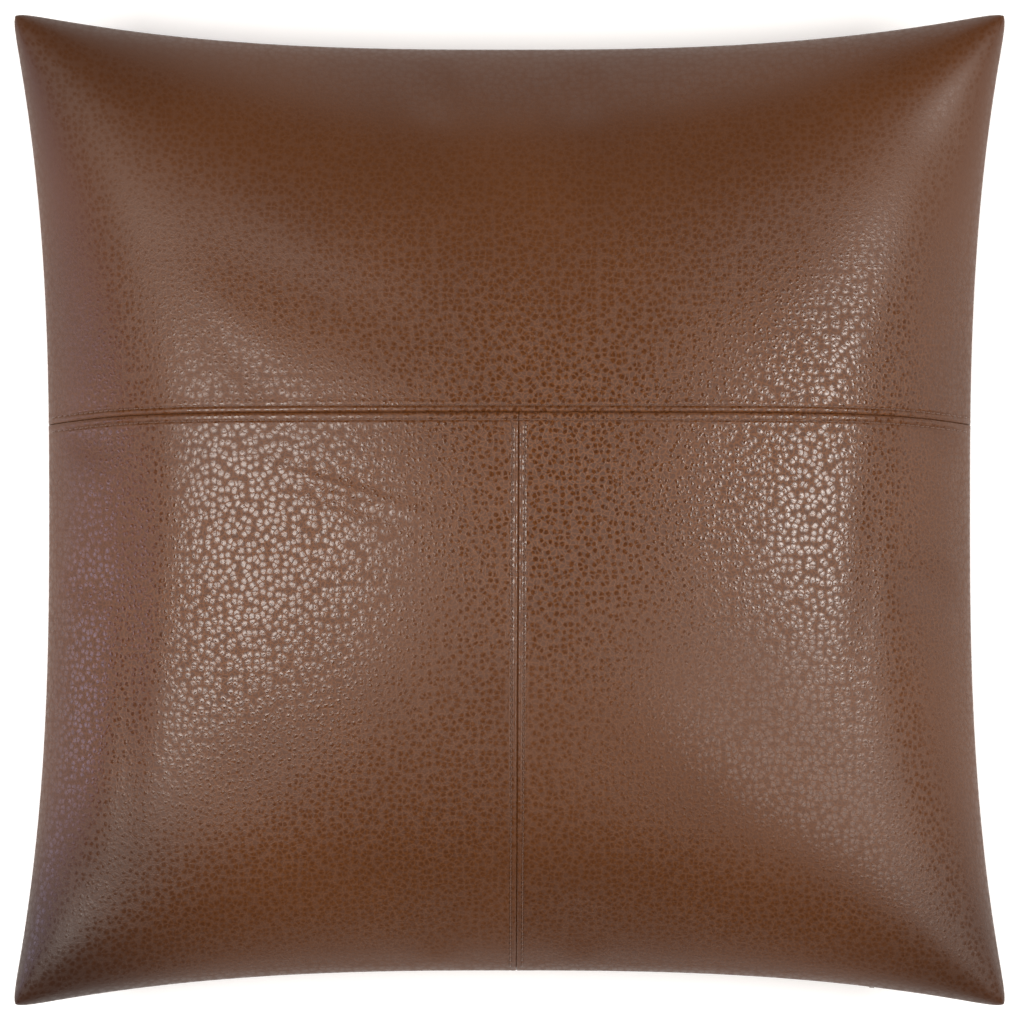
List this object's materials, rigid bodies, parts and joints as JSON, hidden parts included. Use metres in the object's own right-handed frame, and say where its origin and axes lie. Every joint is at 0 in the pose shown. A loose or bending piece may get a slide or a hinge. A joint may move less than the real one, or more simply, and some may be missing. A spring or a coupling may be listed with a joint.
{
  "type": "throw pillow",
  "caption": "Square leather throw pillow with a full-width top panel over two lower panels, topstitched seams, knife edge and hidden bottom zip.",
  "frame": {"origin": "on the floor, under the centre of the flat patch that the back rests on", "axes": "+Z out of the front face, +Y towards the top edge, +X to the front's right"},
  "size_m": [0.6094, 0.6094, 0.1741],
  "materials": {
    "leather": "pebbled brown leather with a soft semi-gloss topcoat",
    "thread": "matched brown bonded polyester thread",
    "label": "blank white woven satin",
    "zip_tape": "dark brown woven polyester tape",
    "zip_coil": "dark brown nylon coil",
    "zip_metal": "zinc with an antique brown lacquer",
    "insert_cloth": "white plain-weave cotton",
    "insert_thread": "white cotton thread",
    "fibre": "white feather and fibre filling"
  },
  "bodies": {
    "cover": {"front_top_panel": "leather", "front_left_panel": "leather", "front_right_panel": "leather", "back_panel": "leather", "topstitch_above": "thread", "topstitch_below": "thread", "topstitch_left": "thread", "topstitch_right": "thread", "cross_seam_thread": "thread", "centre_seam_thread": "thread", "perimeter_seam_thread": "thread", "care_label": "label", "zipper_tape_front": "zip_tape", "zipper_tape_back": "zip_tape", "zipper_coil_front": "zip_coil", "zipper_coil_back": "zip_coil", "zipper_top_stops": "zip_metal", "zipper_bottom_stop": "zip_metal", "insert_shell_front": "insert_cloth", "insert_shell_back": "insert_cloth", "insert_seam_thread": "insert_thread", "insert_fill": "fibre"},
    "slider": {"zipper_slider": "zip_metal"},
    "pull": {"zipper_pull": "zip_metal"}
  },
  "joints": [
    {"name": "zip_travel", "type": "hinge", "parent": "cover", "child": "slider", "pos_m": [0, -2.68908, 0.0785], "axis": [0, 0, 1], "range_deg": [0, 10.63]},
    {"name": "pull_swing", "type": "hinge", "parent": "slider", "child": "pull", "pos_m": [0.22289, -0.29296, 0.0785], "axis": [-0.9957, 0.0926, 0], "range_deg": [0, 125]}
  ]
}
